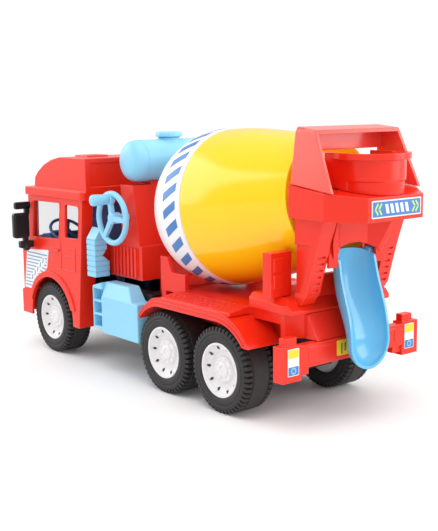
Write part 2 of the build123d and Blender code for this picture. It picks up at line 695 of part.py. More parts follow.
# ---- fuel tanks and air stacks ----------------------------------------------------------
hump_profile = [(47, 58), (47, 71.3), (57, 71.3), (61, 60.5), (61, 58)]
with BuildPart() as fuel_tank_left:
    block((10, 60), (46, 61), (31, 60.5))
    rear_profile(hump_profile, (18, 58))
    side_profile([(27, 71.4), (17.5, 60.5), (17.5, 72)], (40, 65), mode=Mode.SUBTRACT)
    block((60, 72.5), (49, 61), (33, 67))
    block((12, 58), (40, 59), (33, 58.5), mode=Mode.SUBTRACT)
    for low in (35.2, 45.8, 56.4):
        block((61.6, 71), (54, 62), (low, low + 8.8), mode=Mode.SUBTRACT)
    recess_corner = fuel_tank_left.edges().filter_by(Axis.Y).group_by(Axis.X)[-1].sort_by(Axis.Z)[-1]
    fillet(recess_corner, radius=2.5)
save(fuel_tank_left.part, "fuel_tank_left")
save(mirrored(fuel_tank_left.part), "fuel_tank_right")

stack_outline = [
    (62, 74.3), (62, 104), (56, 113), (51, 107), (51, 96), (55, 91), (49, 86), (49, 74.3),
]
with BuildPart() as air_stack_left:
    rear_profile(stack_outline, (65, 77.5))
    block((73, 77), (45.5, 49.5), (78, 84))
    for groove in range(7):
        groove_z = 78 + 4.2 * groove
        block((63, 78), (61.4, 63), (groove_z, groove_z + 0.8), mode=Mode.SUBTRACT)
        block((63, 65.6), (48, 63), (groove_z, groove_z + 0.8), mode=Mode.SUBTRACT)
save(air_stack_left.part, "air_stack_left")
save(mirrored(air_stack_left.part), "air_stack_right")

# ---- cab --------------------------------------------------------------------------------
cab_side = [
    (93, 28.5), (half_length, 28.5), (half_length, 48.3), (184.6, 50), (184.6, 86),
    (173, 93), (171, cab_top), (82, cab_top),
]
cab_hollow_side = [
    (95.2, 20), (half_length - 2.5, 20), (half_length - 2.5, 46.3), (182.2, 48.6),
    (182.2, 84.8), (170.8, 91.7), (168.8, 140), (83.4, 140),
]


def rounded_plan(x, half_width, rear_radius, front_radius):
    """Rounded rectangle in plan, used to round the upright corners of the cab."""
    with BuildSketch(Plane.XY) as plan:
        with Locations(((x[0] + x[1]) / 2, 0)):
            Rectangle(x[1] - x[0], half_width * 2)
        fillet(plan.vertices().group_by(Axis.X)[0], radius=rear_radius)
        fillet(plan.vertices().group_by(Axis.X)[-1], radius=front_radius)
    extrude(plan.sketch, amount=200, mode=Mode.INTERSECT)


with BuildPart() as cab_hollow:
    side_profile(cab_hollow_side, (cab_wall - body_half_width, body_half_width - cab_wall))

front_window = [(121.5, 99.6), (165.3, 97.3), (161, 128.5), (117.5, 129)]
rear_window = [(90.5, 102), (110.5, 101.5), (108.5, 128.5), (88, 128)]
with BuildPart() as cab_shell:
    side_profile(cab_side, (-body_half_width, body_half_width))
    rounded_plan((70, half_length), body_half_width, 5, 2.5)
    add(cab_hollow.part, mode=Mode.SUBTRACT)
    side_profile(front_window, (-70, 70), mode=Mode.SUBTRACT)
    side_profile(rear_window, (-70, 70), mode=Mode.SUBTRACT)
    block((165, 180), (-53, 53), (97, 129), mode=Mode.SUBTRACT)
    block((80, 92), (-52, 52), (98, 130), mode=Mode.SUBTRACT)
    cross_rod(arch_x, arch_z, (-70, 70), arch_radius, mode=Mode.SUBTRACT)
    block((arch_x - arch_radius, arch_x + arch_radius), (-70, 70), (20, arch_z),
          mode=Mode.SUBTRACT)
    block((78, 99), (-48, 48), (20, 73.8), mode=Mode.SUBTRACT)
    for side in (-1, 1):
        lip_plane = Plane.XZ.offset(-side * (body_half_width - 1))
        with BuildSketch(lip_plane) as lip:
            with Locations((arch_x - 1, arch_z)):
                Circle(arch_radius + 5)
            with Locations((arch_x, arch_z)):
                Circle(arch_radius, mode=Mode.SUBTRACT)
            with Locations((arch_x, -8)):
                Rectangle(120, 100, mode=Mode.SUBTRACT)
        extrude(lip.sketch, amount=-side * 2.2)
save(cab_shell.part, "cab_shell")

roof_side = [
    (79, 139.5), (79, 166.3), (120, 166.2), (133, 163.6), (145.5, 159.2), (156, 152.8),
    (161, 148.3), (162.5, 139.5),
]
with BuildPart() as cab_roof:
    block((79, 174), (-64, 64), (cab_top + fit_gap, 140))
    rounded_plan((79, 174), 64, 3, 3)
    side_profile(roof_side, (-60, 60))
    block((81.5, 171), (-61, 61), (130, 137.5), mode=Mode.SUBTRACT)
    block((78, 79.8), (-56, 56), (143.5, 162.5), mode=Mode.SUBTRACT)
    for side in (-1, 1):
        block((100, 119), sorted((side * 25, side * 45)), (160, 167.6))
    roof_hollow = [
        (82, 130), (82, 163.6), (119.5, 163.5), (132, 161.2), (144, 157), (154, 150.9),
        (158.5, 147), (160, 130),
    ]
    side_profile(roof_hollow, (-57.5, 57.5), mode=Mode.SUBTRACT)
save(cab_roof.part, "cab_roof")

with BuildPart() as cab_windscreen:
    side_profile([(167.5, 94), (166.5, 132), (168, 132), (169.3, 94)], (-56, 56))
save(cab_windscreen.part, "cab_windscreen")

seat_back = [(91.5, 78), (91.5, 121), (95.5, 121), (101, 94), (124, 92), (124, 78)]
dashboard = [(148, 78), (145, 96), (149, 101), (158, 100), (166, 96), (165, 78)]
with BuildPart() as cab_interior:
    block((91.5, 165), (-57, 57), (74.5, 78))
    side_profile(seat_back, (-52, 52))
    side_profile(dashboard, (-56, 56))
    for side in (-1, 1):
        block((92, 97), sorted((side * 17, side * 46)), (118, 131))
        block((102, 122), sorted((side * 12, side * 52)), (90, 96))
    for x, y in screw_places[4:]:
        screw_post(x, y, 76)
save(cab_interior.part, "cab_interior")

with BuildPart() as steering_wheel:
    column = Plane(origin=(140, 39, 104.5), x_dir=(0, 1, 0), z_dir=(-0.6, 0, 0.8))
    with BuildSketch(Plane(origin=column.origin, x_dir=(0, 1, 0), z_dir=column.x_dir.cross(
            column.z_dir))) as tube:
        with Locations((14.5, 0)):
            Circle(1.3)
    revolve(tube.sketch, axis=Axis(column.origin, column.z_dir))
    with BuildSketch(column.offset(-1)) as spoke:
        Rectangle(29, 3)
        Circle(3.5)
    extrude(spoke.sketch, amount=2)
    with BuildSketch(column.offset(-5)) as post:
        Circle(1.8)
    extrude(post.sketch, amount=5)
save(steering_wheel.part, "steering_wheel")

# ---- front grille and headlamps ---------------------------------------------------------
with BuildPart() as front_grille:
    block((184.8, 186.3), (-34, 34), (54, 82))
    for bar in range(5):
        low = 56 + 5 * bar
        block((186, 187.3), (-32, 32), (low, low + 2.6))
save(front_grille.part, "front_grille")

with BuildPart() as headlamp_left:
    block((184.8, 187), (39, 56), (54, 66))
    fillet(headlamp_left.edges().filter_by(Axis.X), radius=3)
save(headlamp_left.part, "headlamp_left")
save(mirrored(headlamp_left.part), "headlamp_right")

# ---- mirrors ----------------------------------------------------------------------------
mirror_x = 167.0
with BuildPart() as mirror_left:
    block((mirror_x - 2.5, mirror_x + 1.5), (65.3, 79.6), (96.8, 118.2))
    block((mirror_x - 2, mirror_x + 1.5), (63.2, 77.6), (121.4, 127.4))
    block((mirror_x - 2, mirror_x + 1.5), (64, 68.5), (116, 124))
    block((mirror_x - 2, mirror_x + 1.5), (66, 70.5), (86, 98))
    block((mirror_x - 4, mirror_x + 1.5), (62.1, 74.5), (88, 94))
save(mirror_left.part, "mirror_left")
save(mirrored(mirror_left.part), "mirror_right")

# ---- screws that hold the deck and the cab floor to the chassis, from below --------------
with BuildPart() as body_screws:
    screw_sockets(24.6, 2.6, 2.0)
    screw_sockets(26.6, screw_radius, 34)
save(body_screws.part, "body_screws")
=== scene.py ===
"""Looks of a toy cement mixer truck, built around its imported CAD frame, in metres."""
import json
import math

import bmesh
import bpy
from mathutils import Matrix, Vector


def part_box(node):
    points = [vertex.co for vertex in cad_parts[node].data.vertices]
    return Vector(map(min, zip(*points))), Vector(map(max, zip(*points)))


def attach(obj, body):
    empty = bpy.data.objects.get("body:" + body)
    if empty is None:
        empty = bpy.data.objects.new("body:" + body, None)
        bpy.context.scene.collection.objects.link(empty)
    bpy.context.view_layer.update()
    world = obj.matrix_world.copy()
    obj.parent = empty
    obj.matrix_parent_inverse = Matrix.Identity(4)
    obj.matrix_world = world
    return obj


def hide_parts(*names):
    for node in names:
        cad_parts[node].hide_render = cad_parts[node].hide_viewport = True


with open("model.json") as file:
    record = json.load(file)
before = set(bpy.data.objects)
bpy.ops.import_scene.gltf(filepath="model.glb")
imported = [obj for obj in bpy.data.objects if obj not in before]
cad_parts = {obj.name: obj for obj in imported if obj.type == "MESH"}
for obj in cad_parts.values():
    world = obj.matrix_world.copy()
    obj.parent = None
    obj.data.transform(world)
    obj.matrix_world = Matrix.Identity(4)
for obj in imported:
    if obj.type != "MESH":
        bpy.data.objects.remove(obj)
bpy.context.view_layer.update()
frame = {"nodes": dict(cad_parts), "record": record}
nodes = frame["nodes"]
MM = 0.001
CORNERS = ("rear", "middle", "front")
SIDES = (("left", 1), ("right", -1))   # the truck's left is towards +y
SIDE_WALL_Y = 62.0                     # outer face of the cab and of the fenders, in mm
SHARP_ANGLE = math.radians(35)         # steeper edges than this stay sharp or get rounded


# ---- mesh helpers -----------------------------------------------------------------------
def close_piece(name, work, body, materials, rounding=0.0):
    """Turn a filled bmesh into a named piece that rides on a body; rounding is in mm."""
    bmesh.ops.recalc_face_normals(work, faces=work.faces)
    mesh = bpy.data.meshes.new(name)
    work.to_mesh(mesh)
    work.free()
    for material in materials:
        mesh.materials.append(material)
    for face in mesh.polygons:
        face.use_smooth = True
    mesh.set_sharp_from_angle(angle=SHARP_ANGLE)
    piece = bpy.data.objects.new(name, mesh)
    bpy.context.scene.collection.objects.link(piece)
    if rounding > 0:
        edges = piece.modifiers.new("round_edges", "BEVEL")
        edges.width = rounding * MM
        edges.segments = 3
        edges.limit_method = "ANGLE"
        edges.angle_limit = SHARP_ANGLE
        shading = piece.modifiers.new("shading", "WEIGHTED_NORMAL")
        shading.keep_sharp = True
    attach(piece, body)
    return piece


def round_corners(points, radius):
    """2-D outline with each corner replaced by a short curve."""
    steps = 4
    out = []
    for i, point in enumerate(points):
        corner = Vector(point)
        before = Vector(points[i - 1]) - corner
        after = Vector(points[(i + 1) % len(points)]) - corner
        reach = min(radius, before.length * 0.49, after.length * 0.49)
        start = corner + before.normalized() * reach
        end = corner + after.normalized() * reach
        for step in range(steps + 1):
            t = step / steps
            spot = start * (1 - t) ** 2 + corner * 2 * t * (1 - t) + end * t**2
            out.append((spot.x, spot.y))
    return out


def rectangle(low, high, corner=0.0):
    """Rectangle between two opposite corners, with rounded corners if asked."""
    points = [(low[0], low[1]), (high[0], low[1]), (high[0], high[1]), (low[0], high[1])]
    return round_corners(points, corner) if corner > 0 else points


def bar_between(start, end, width):
    """Thin rectangle that follows a 2-D line."""
    a = Vector(start)
    b = Vector(end)
    across = (b - a).normalized().orthogonal() * width / 2
    return [tuple(p) for p in (a + across, b + across, b - across, a - across)]


def disc(centre, radius):
    """Round outline."""
    count = 32
    out = []
    for k in range(count):
        angle = 2 * math.pi * k / count
        out.append((centre[0] + radius * math.cos(angle), centre[1] + radius * math.sin(angle)))
    return out


def flat_ring(work, outline, depth, facing):
    """Loop of vertices from a 2-D outline in mm: (y, z), (x, z) or (x, y) for facing x, y or z."""
    ring = []
    for a, b in outline:
        spot = {"x": (depth, a, b), "y": (a, depth, b), "z": (a, b, depth)}[facing]
        ring.append(work.verts.new(Vector(spot) * MM))
    return ring


def prism(work, outline, low, high, facing, look=0):
    """Solid slab of an outline between two depths."""
    rings = [flat_ring(work, outline, depth, facing) for depth in (low, high)]
    faces = [work.faces.new(rings[0]), work.faces.new(rings[1])]
    for k in range(len(outline)):
        j = (k + 1) % len(outline)
        faces.append(work.faces.new((rings[0][k], rings[0][j], rings[1][j], rings[1][k])))
    for face in faces:
        face.material_index = look


def ring_slab(work, outer, inner, low, high, facing):
    """Slab with a hole: the outer and inner outlines hold equally many points."""
    loops = []
    for outline, depth in ((outer, low), (outer, high), (inner, high), (inner, low)):
        loops.append(flat_ring(work, outline, depth, facing))
    count = len(outer)
    for a, b in zip(loops, loops[1:] + loops[:1]):
        for k in range(count):
            j = (k + 1) % count
            work.faces.new((a[k], a[j], b[j], b[k]))


def spun(work, profile, origin, axis, segments):
    """Closed solid of revolution: profile holds (along, radius) in mm."""
    along = Vector(axis).normalized()
    side = along.orthogonal().normalized()
    other = along.cross(side)
    rings = []
    for s, r in profile:
        if r < 0.001:
            rings.append([work.verts.new((Vector(origin) + along * s) * MM)])
            continue
        ring = []
        for k in range(segments):
            angle = 2 * math.pi * k / segments
            spot = Vector(origin) + along * s + (side * math.cos(angle) + other * math.sin(angle)) * r
            ring.append(work.verts.new(spot * MM))
        rings.append(ring)
    pairs = list(zip(rings, rings[1:]))
    if len(rings[0]) > 1 and len(rings[-1]) > 1:
        pairs.append((rings[-1], rings[0]))
    for a, b in pairs:
        for k in range(segments):
            j = (k + 1) % segments
            if len(a) == 1:
                corners = (a[0], b[j], b[k])
            elif len(b) == 1:
                corners = (a[k], a[j], b[0])
            else:
                corners = (a[k], a[j], b[j], b[k])
            work.faces.new(corners)


def curve_through(points, steps):
    """Smooth chain that passes through the given points, with this many steps between two."""
    out = []
    padded = [points[0], *points, points[-1]]
    for i in range(1, len(padded) - 2):
        p0, p1, p2, p3 = (Vector(p) for p in padded[i - 1:i + 3])
        for step in range(steps):
            t = step / steps
            spot = 0.5 * (
                2 * p1 + (p2 - p0) * t + (2 * p0 - 5 * p1 + 4 * p2 - p3) * t**2
                + (3 * p1 - p0 - 3 * p2 + p3) * t**3
            )
            out.append(tuple(spot))
    out.append(tuple(points[-1]))
    return out


def ring_section(radius, tube):
    """Round section of a ring, as (along, radius) points."""
    count = 20
    out = []
    for k in range(count):
        angle = 2 * math.pi * k / count
        out.append((tube * math.sin(angle), radius + tube * math.cos(angle)))
    return out


# ---- materials --------------------------------------------------------------------------
CLOUD_SCALE = 28        # patches of slightly different colour
SMUDGE_SCALE = 90       # patches of different gloss
PORE_SCALE = 1400       # fine grain of the mould
EDGE_SHEEN_REACH = 0.0006      # reach of the rounded shading and of the painted highlight along the edges


def link(tree, out_socket, in_socket):
    """Join two sockets of a node tree."""
    tree.links.new(out_socket, in_socket)


def moulded(name, colour, roughness=0.3, grain=0.02, blotch=0.05, edge_sheen=0.25, specular=0.4):
    """Moulded plastic: uneven colour, fine grain, roughness variation and a painted highlight on the
    edges.
    """
    material = bpy.data.materials.new(name)
    material.use_nodes = True
    tree = material.node_tree
    shader = tree.nodes["Principled BSDF"]
    place = tree.nodes.new("ShaderNodeTexCoord")

    clouds = tree.nodes.new("ShaderNodeTexNoise")
    clouds.inputs["Scale"].default_value = CLOUD_SCALE
    clouds.inputs["Detail"].default_value = 3
    link(tree, place.outputs["Object"], clouds.inputs["Vector"])
    tint = tree.nodes.new("ShaderNodeMix")
    tint.data_type = "RGBA"
    tint.inputs["A"].default_value = (*[c * (1 - blotch) for c in colour], 1)
    tint.inputs["B"].default_value = (*[min(1, c * (1 + blotch)) for c in colour], 1)
    link(tree, clouds.outputs["Fac"], tint.inputs["Factor"])

    soft = tree.nodes.new("ShaderNodeBevel")
    soft.samples = 4
    soft.inputs["Radius"].default_value = EDGE_SHEEN_REACH
    geometry = tree.nodes.new("ShaderNodeNewGeometry")
    facing = tree.nodes.new("ShaderNodeVectorMath")
    facing.operation = "DOT_PRODUCT"
    link(tree, soft.outputs["Normal"], facing.inputs[0])
    link(tree, geometry.outputs["Normal"], facing.inputs[1])
    # Painted highlight: near the edges the colour is mixed towards a paler tint, standing in for the light
    # that rounded edges catch.
    edge = tree.nodes.new("ShaderNodeMapRange")
    edge.inputs["From Min"].default_value = 0.995
    edge.inputs["From Max"].default_value = 0.8
    edge.inputs["To Max"].default_value = edge_sheen
    link(tree, facing.outputs["Value"], edge.inputs["Value"])
    edge_sheen_mix = tree.nodes.new("ShaderNodeMix")
    edge_sheen_mix.data_type = "RGBA"
    edge_sheen_mix.inputs["B"].default_value = (*[min(1, c * 0.75 + 0.25) for c in colour], 1)
    link(tree, edge.outputs["Result"], edge_sheen_mix.inputs["Factor"])
    link(tree, tint.outputs["Result"], edge_sheen_mix.inputs["A"])
    link(tree, edge_sheen_mix.outputs["Result"], shader.inputs["Base Color"])

    smudge = tree.nodes.new("ShaderNodeTexNoise")
    smudge.inputs["Scale"].default_value = SMUDGE_SCALE
    smudge.inputs["Detail"].default_value = 4
    link(tree, place.outputs["Object"], smudge.inputs["Vector"])
    gloss = tree.nodes.new("ShaderNodeMapRange")
    gloss.inputs["To Min"].default_value = roughness * 0.8
    gloss.inputs["To Max"].default_value = roughness * 1.25
    link(tree, smudge.outputs["Fac"], gloss.inputs["Value"])
    link(tree, gloss.outputs["Result"], shader.inputs["Roughness"])

    pores = tree.nodes.new("ShaderNodeTexNoise")
    pores.inputs["Scale"].default_value = PORE_SCALE
    link(tree, place.outputs["Object"], pores.inputs["Vector"])
    bump = tree.nodes.new("ShaderNodeBump")
    bump.inputs["Strength"].default_value = grain
    bump.inputs["Distance"].default_value = 0.0005
    link(tree, pores.outputs["Fac"], bump.inputs["Height"])
    link(tree, soft.outputs["Normal"], bump.inputs["Normal"])
    link(tree, bump.outputs["Normal"], shader.inputs["Normal"])
    shader.inputs["Specular IOR Level"].default_value = specular
    return material


red = moulded("red_moulded_plastic", (0.85, 0.024, 0.007), roughness=0.24, grain=0.006, blotch=0.025,
              edge_sheen=0.35, specular=0.4)
# Paler, pinker copy of the red plastic for the hopper hood: painted sheen standing in for the light that
# washes over the hood.
red_hood_sheen = moulded("red_hood_plastic_painted_sheen", (0.90, 0.085, 0.06), roughness=0.2, grain=0.006,
                   blotch=0.04, edge_sheen=0.35, specular=0.5)
sky = moulded("sky_moulded_plastic", (0.27, 0.63, 0.87), roughness=0.34, grain=0.01, edge_sheen=0.35)
# Glossier, darker copy of the sky-blue plastic for the chute: the darker tone is painted shade, standing
# in for the shade inside the trough.
sky_gloss = moulded("sky_glossy_plastic_painted_shade", (0.12, 0.46, 0.74), roughness=0.16, grain=0.004, edge_sheen=0.3,
                    specular=0.5)
black = moulded("black_moulded_plastic", (0.010, 0.010, 0.011), roughness=0.42, edge_sheen=0.08)
yellow = moulded("yellow_drum_plastic", (1.0, 0.62, 0.006), roughness=0.15, grain=0.004, edge_sheen=0.1,
                 blotch=0.02, specular=0.5)
white = moulded("white_drum_plastic", (0.86, 0.86, 0.87), roughness=0.3, edge_sheen=0.1, blotch=0.02)
hub_white = moulded("white_hub_plastic", (0.80, 0.78, 0.79), roughness=0.34, edge_sheen=0.1, blotch=0.02)
rubber = moulded("tyre_rubber", (0.025, 0.023, 0.0235), roughness=0.6, grain=0.12, edge_sheen=0.05)
steel = moulded("drawn_steel", (0.55, 0.55, 0.56), roughness=0.3, edge_sheen=0.2)
steel.node_tree.nodes["Principled BSDF"].inputs["Metallic"].default_value = 1.0
navy = moulded("navy_moulded_plastic", (0.07, 0.15, 0.34), roughness=0.4, edge_sheen=0.15)
clear = moulded("clear_plastic", (0.9, 0.94, 0.96), roughness=0.08, edge_sheen=0.0, grain=0.0)
clear.node_tree.nodes["Principled BSDF"].inputs["Alpha"].default_value = 0.15
lamp = moulded("pearl_lamp_plastic", (0.8, 0.8, 0.76), roughness=0.15, edge_sheen=0.1)
paper = moulded("sticker_print", (0.10, 0.28, 0.65), roughness=0.3, edge_sheen=0.0)
ink_white = moulded("sticker_white", (0.84, 0.84, 0.84), roughness=0.3, edge_sheen=0.0, blotch=0.02)
ink_blue = moulded("sticker_blue", (0.055, 0.20, 0.52), roughness=0.3, edge_sheen=0.0)
ink_slate = moulded("sticker_slate_blue", (0.20, 0.33, 0.52), roughness=0.3, edge_sheen=0.0)
ink_light = moulded("sticker_light_blue", (0.28, 0.52, 0.80), roughness=0.3, edge_sheen=0.0)
ink_yellow = moulded("sticker_yellow", (0.90, 0.62, 0.03), roughness=0.3, edge_sheen=0.0)
ink_lime = moulded("sticker_lime", (0.55, 0.80, 0.12), roughness=0.3, edge_sheen=0.0)
# Dark ink, printed on the rear plate and also filling the hub slots, where it is painted shade.
dark_ink_and_slot_shade = moulded("sticker_dark_and_painted_slot_shade", (0.035, 0.035, 0.04), roughness=0.35, edge_sheen=0.0)
SLOT_MATERIALS = {
    "red_plastic": red, "sky_plastic": sky, "sky_gloss": sky_gloss, "black_plastic": black,
    "yellow_plastic": yellow, "white_plastic": white, "hub_plastic": hub_white,
    "tyre_rubber": rubber, "steel": steel, "navy_plastic": navy, "clear_plastic": clear,
    "lamp_plastic": lamp, "sticker_paper": paper,
}
# The big mouldings have softer edges than the small ones.
SOFT_NODES = ("cab_shell", "cab_roof", "hopper_hood", "drum_stand", "deck_body", "drive_housing")
SOFT_EDGE = 0.0011
CRISP_EDGE = 0.0006


def dress_cad_nodes():
    """Give every CAD node its slot's material, clean faces and rounded edges."""
    slots = {part["node"]: part["material_slot"] for part in frame["record"]["subparts"]}
    for name, node in nodes.items():
        node.data.materials.clear()
        # The hopper hood takes the paler copy of the red, which paints the sheen of the light on it.
        look = red_hood_sheen if name == "hopper_hood" else SLOT_MATERIALS[slots[name]]
        node.data.materials.append(look)
        for face in node.data.polygons:
            face.use_smooth = True
        weld = node.modifiers.new("weld", "WELD")
        weld.merge_threshold = 0.00002
        flat = node.modifiers.new("merge_flat_faces", "DECIMATE")
        flat.decimate_type = "DISSOLVE"
        flat.angle_limit = math.radians(0.6)
        rounding = node.modifiers.new("round_edges", "BEVEL")
        rounding.width = SOFT_EDGE if name in SOFT_NODES else CRISP_EDGE
        rounding.segments = 2
        rounding.limit_method = "ANGLE"
        rounding.angle_limit = SHARP_ANGLE
        shading = node.modifiers.new("shading", "WEIGHTED_NORMAL")
        shading.keep_sharp = True


dress_cad_nodes()

# ---- wheels -----------------------------------------------------------------------------
RIM_RADIUS = 18.8
LUGS = 48
LUG_SHARES = ((0.0, 0), (0.56, 0), (0.66, 1), (0.90, 1))   # place in one pitch, gap or not
DISH_DEPTH = 4.1         # from the tyre's face to the flat of the hub's dish
NUTS = 8
NUT_CIRCLE = 7.2
HUB_SLOTS = 10
SLOT_CIRCLE = 15.5


def tyre_rings(inner, outer):
    """Half of a tyre's section from bead to middle: along, radius and depth of the lug gap."""
    half = [
        (0.8, RIM_RADIUS + 0.1, 0), (0.3, 20.2, 0), (0.0, 21.0, 0), (0.0, 23.4, 0), (0.35, 23.8, 0),
        (0.35, 24.6, 0), (0.0, 25.0, 0), (0.1, 26.4, 0), (0.35, 27.1, 0.2), (0.7, 28.3, 1.8),
        (1.2, 29.5, 2.5), (2.2, 30.0, 2.5), (4.6, 30.0, 2.1), (5.1, 29.9, 0.3), (5.2, 29.3, 0),
        (6.2, 29.3, 0), (6.3, 29.9, 0), (10.0, 30.0, 0),
    ]
    left = [(inner + s, r, gap) for s, r, gap in half]
    right = [(outer - s, r, gap) for s, r, gap in reversed(half)]
    return left + right


def make_tyre(corner, side_name, side):
    """Tyre with lugged shoulders, in the place of its plain CAD ring."""
    node = f"{corner}_{side_name}_tyre"
    low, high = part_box(node)
    centre = (low + high) / 2 / MM
    edges = sorted((abs(low.y), abs(high.y)))
    inner, outer = (edge / MM for edge in edges)
    work = bmesh.new()
    rings = []
    for y, radius, gap in tyre_rings(inner, outer):
        ring = []
        for lug in range(LUGS):
            for share, lowered in LUG_SHARES:
                angle = 2 * math.pi * (lug + share) / LUGS
                reach = radius - gap * lowered
                spot = (
                    centre.x + reach * math.cos(angle), side * y, centre.z + reach * math.sin(angle),
                )
                ring.append(work.verts.new(Vector(spot) * MM))
        rings.append(ring)
    count = len(rings[0])
    for a, b in [*zip(rings, rings[1:]), (rings[-1], rings[0])]:
        for k in range(count):
            j = (k + 1) % count
            work.faces.new((a[k], a[j], b[j], b[k]))
    piece = close_piece(f"{node}_lugged", work, f"{corner}_wheelset", [rubber])
    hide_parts(node)


def make_wheel_nuts(corner, side_name, side):
    """Stepped cap, ring of nuts and dark fillings in the slots of the hub's dish, which paint the shade
    inside the slots.
    """
    low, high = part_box(f"{corner}_{side_name}_tyre")
    centre = (low + high) / 2 / MM
    face = max(abs(low.y), abs(high.y)) / MM
    dish_y = side * (face - DISH_DEPTH)
    work = bmesh.new()
    cap = [(0, 0), (0, 5.6), (0.9, 5.2), (1.3, 4.4), (1.3, 2.6), (0.7, 2.2), (0.7, 0)]
    spun(work, cap, (centre.x, dish_y, centre.z), (0, side, 0), 48)
    nut_shape = [(0, 0), (0, 0.95), (0.5, 0.8), (0.7, 0.4), (0.75, 0)]
    for nut in range(NUTS):
        angle = 2 * math.pi * (nut + 0.5) / NUTS
        x = centre.x + NUT_CIRCLE * math.cos(angle)
        z = centre.z + NUT_CIRCLE * math.sin(angle)
        spun(work, nut_shape, (x, dish_y, z), (0, side, 0), 12)
    depths = sorted((side * (face - 6.5), side * (face - 3.7)))
    # Dark fillings of the hub slots: painted shade standing in for the dark inside the slots.
    for slot in range(HUB_SLOTS):
        angle = 2 * math.pi * slot / HUB_SLOTS
        along = Vector((math.cos(angle), math.sin(angle)))
        middle = Vector((centre.x, centre.z)) + along * SLOT_CIRCLE
        outline = bar_between(middle - along * 1.1, middle + along * 1.1, 1.7)
        prism(work, outline, depths[0], depths[1], "y", 1)
    close_piece(f"{corner}_{side_name}_wheel_nuts", work, f"{corner}_wheelset",
                [hub_white, dark_ink_and_slot_shade])


for corner in CORNERS:
    for side_name, side in SIDES:
        make_tyre(corner, side_name, side)
        make_wheel_nuts(corner, side_name, side)

# ---- drum -------------------------------------------------------------------------------
DRUM_TILT = math.radians(7.5)
DRUM_AXIS = (math.cos(DRUM_TILT), 0, -math.sin(DRUM_TILT))
DRUM_SEAM = (-39.7, 0, 133.4)
FRONT_OUTLINE = curve_through([(0.3, 57.1), (12, 57.4), (24, 56.2), (34, 53.0), (41, 49.4)], 10)
STRIPES = 28
STRIPE_FROM, STRIPE_TO = 4.75, 19.75   # stations along the drum's axis
STRIPE_SPREAD = 6.3                    # degrees around the drum
STRIPE_SLANT = 7.0                     # degrees from one end of a stripe to the other
FIRST_STRIPE = 31.2                    # degrees


def make_drum_shell():
    """Yellow rear half: smooth outside, hollow inside, collar at its rear end."""
    outside = curve_through([(-92, 41.0), (-70, 45.4), (-30, 53.0), (-0.8, 56.4)], 12)
    inside = [
        (-0.2, 56.3), (0, 55.9), (0, 54.0), (6, 54.0), (6, 52.0), (0, 51.8), (-30, 50.4),
        (-70, 42.9), (-89.5, 38.6), (-89.5, 21.5), (-104, 21.5), (-104, 24), (-92, 24), (-92, 40.2),
    ]
    work = bmesh.new()
    spun(work, outside + inside, DRUM_SEAM, DRUM_AXIS, 192)
    piece = close_piece("drum_rear_shell_smooth", work, "drum", [yellow])
    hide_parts("drum_rear_shell")


def make_drum_front():
    """White front half with the dished end that holds the drum's shaft."""
    outside = [(0.3, 56.2), (0.5, 56.7), (0.9, 57.0)] + FRONT_OUTLINE[3:]
    inside = [
        (43.5, 46), (44.5, 42), (49, 22), (49, 12), (58, 12), (58, 5.1), (46, 5.1), (46, 21),
        (41, 44.6), (38.6, 47.4), (33, 50.4), (23, 53.6), (12, 54.8), (0.3, 54.5),
    ]
    work = bmesh.new()
    spun(work, outside + inside, DRUM_SEAM, DRUM_AXIS, 192)
    piece = close_piece("drum_front_cone_smooth", work, "drum", [white])
    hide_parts("drum_front_cone")


def front_radius(station):
    """Radius of the front half of the drum at one station, between two outline points."""
    for (s0, r0), (s1, r1) in zip(FRONT_OUTLINE, FRONT_OUTLINE[1:]):
        if s0 <= station <= s1:
            return r0 + (r1 - r0) * (station - s0) / (s1 - s0)
    return FRONT_OUTLINE[-1][1]


def make_drum_stripes():
    """Slanted stripes around the front half of the drum, printed just proud of it."""
    along = Vector(DRUM_AXIS)
    side = Vector((0, 1, 0))
    up = side.cross(along) * -1
    rows, columns = 6, 3
    work = bmesh.new()
    for stripe in range(STRIPES):
        middle_turn = FIRST_STRIPE - stripe * 360 / STRIPES
        layers = []
        for lift in (-0.3, 0.12):
            grid = []
            for row in range(rows + 1):
                share = row / rows
                station = STRIPE_FROM + (STRIPE_TO - STRIPE_FROM) * share
                radius = front_radius(station) + lift
                line = []
                for column in range(columns + 1):
                    turn = middle_turn - STRIPE_SLANT * share + STRIPE_SPREAD * (column / columns - 0.5)
                    angle = math.radians(turn)
                    spot = Vector(DRUM_SEAM) + along * station
                    spot = spot + (side * math.cos(angle) + up * math.sin(angle)) * radius
                    line.append(work.verts.new(spot * MM))
                grid.append(line)
            layers.append(grid)
            for row in range(rows):
                for column in range(columns):
                    work.faces.new((
                        grid[row][column], grid[row][column + 1],
                        grid[row + 1][column + 1], grid[row + 1][column],
                    ))
        under, over = layers
        for row in range(rows):
            for column in (0, columns):
                work.faces.new((under[row][column], under[row + 1][column],
                                over[row + 1][column], over[row][column]))
        for column in range(columns):
            for row in (0, rows):
                work.faces.new((under[row][column], under[row][column + 1],
                                over[row][column + 1], over[row][column]))
    close_piece("drum_stripes", work, "drum", [ink_blue])


make_drum_shell()
make_drum_front()
make_drum_stripes()

# ---- hand wheel and knob ----------------------------------------------------------------
CRANK_X = 45.2
CRANK_Z = DRUM_SEAM[2] - math.tan(DRUM_TILT) * (CRANK_X - DRUM_SEAM[0])   # on the drum's axis
HAND_WHEEL_Y = 57.8
WHEEL_RIM = 18.8
SPOKE_ANGLES = (80, 182, 306)
KNOB_CENTRE = (CRANK_X + 2.3, HAND_WHEEL_Y, CRANK_Z + 14.5)


